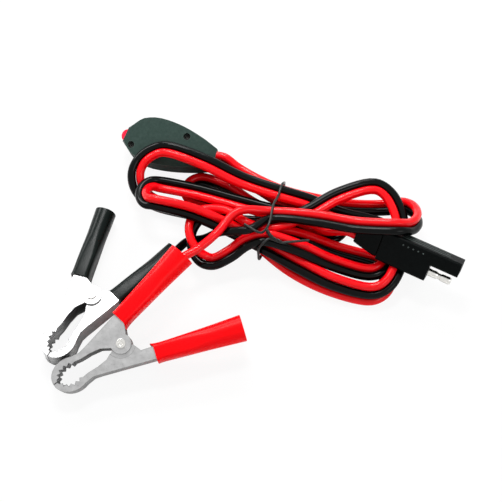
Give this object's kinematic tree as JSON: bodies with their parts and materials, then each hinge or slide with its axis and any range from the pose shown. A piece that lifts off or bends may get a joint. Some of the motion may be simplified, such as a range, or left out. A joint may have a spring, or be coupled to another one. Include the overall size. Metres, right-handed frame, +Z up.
{
  "type": "battery lead set",
  "caption": "Battery connection lead: two sprung jaw clips, an inline rocker switch box and a flat two-pole plug, joined by red and black twin lead folded into a tied hank.",
  "frame": {"origin": "on the table plane, under the middle of the box round the two clips and the switch box, which is measured without the cord and its plug", "axes": "+Z up from the table; +X from the clips towards the plug; +Y from the clips towards the switch box"},
  "size_m": [0.1867, 0.1356, 0.0273],
  "materials": {
    "plug_black": "moulded, satin",
    "red_sleeve": "soft vinyl, glossy",
    "black_sleeve": "soft vinyl, glossy",
    "rocker_red": "glossy",
    "tie_black": "coated wire",
    "clip_steel": "zinc plated sheet",
    "box_grey": "fine moulded texture",
    "switch_black": "moulded",
    "bare_copper": "bare stranded copper",
    "plated_steel": "plated",
    "red_insulation": "glossy vinyl",
    "black_insulation": "glossy vinyl"
  },
  "bodies": {
    "lead_set": {"red_fixed_lever": "clip_steel", "red_clip_rivet": "plated_steel", "red_clip_spring": "plated_steel", "red_fixed_sleeve": "red_sleeve", "red_wire_lug": "plated_steel", "red_wire_core": "bare_copper", "black_fixed_lever": "clip_steel", "black_clip_rivet": "plated_steel", "black_clip_spring": "plated_steel", "black_fixed_sleeve": "black_sleeve", "black_wire_lug": "plated_steel", "black_wire_core": "bare_copper", "switch_upper_shell": "box_grey", "switch_lower_shell": "box_grey", "switch_screws": "plated_steel", "switch_body": "switch_black", "switch_terminals": "plated_steel", "switch_red_wires": "red_insulation", "switch_black_wires": "black_insulation", "switch_splice": "plated_steel", "switch_grommet": "switch_black", "plug_moulding": "plug_black", "plug_pin": "plated_steel", "plug_socket": "plated_steel", "plug_boot": "plug_black", "red_clip_lead": "red_insulation", "black_clip_lead": "black_insulation", "red_short_loop": "red_insulation", "black_short_loop": "black_insulation", "red_switch_lead": "red_insulation", "black_switch_lead": "black_insulation", "red_hank": "red_insulation", "black_hank": "black_insulation", "red_outlet_lead": "red_insulation", "black_outlet_lead": "black_insulation", "red_plug_lead": "red_insulation", "black_plug_lead": "black_insulation", "hank_tie": "tie_black"},
    "red_jaw": {"red_moving_lever": "clip_steel", "red_moving_sleeve": "red_sleeve"},
    "black_jaw": {"black_moving_lever": "clip_steel", "black_moving_sleeve": "black_sleeve"},
    "rocker": {"switch_rocker": "rocker_red"},
    "contact_bar": {"switch_contact_bar": "bare_copper"}
  },
  "joints": [
    {"name": "red_clip_hinge", "type": "hinge", "parent": "lead_set", "child": "red_jaw", "pos_m": [-0.0097, -0.04625, 0.0104], "axis": [-0.005, -0.2555, 0.9668], "range_deg": [0, 30], "stiffness_Nm_per_rad": 1.2, "springref_deg": -20.05, "deforming": ["red_clip_spring"]},
    {"name": "black_clip_hinge", "type": "hinge", "parent": "lead_set", "child": "black_jaw", "pos_m": [-0.0242, -0.02265, 0.006], "axis": [0, 0, -1], "range_deg": [0, 30], "stiffness_Nm_per_rad": 1.2, "springref_deg": -20.05, "deforming": ["black_clip_spring"]},
    {"name": "rocker_hinge", "type": "hinge", "parent": "lead_set", "child": "rocker", "pos_m": [-0.01084, 0.05904, 0.0087], "axis": [0.067, 0.25, -0.9659], "range_deg": [0, 28]},
    {"name": "contact_hinge", "type": "hinge", "parent": "lead_set", "child": "contact_bar", "pos_m": [-0.0063, 0.05782, 0.0087], "axis": [0.067, 0.25, -0.9659], "range_deg": [-10, 0]}
  ],
  "couplings": [
    {"joint": "contact_hinge", "follows": "rocker_hinge", "ratio": -0.3571}
  ]
}
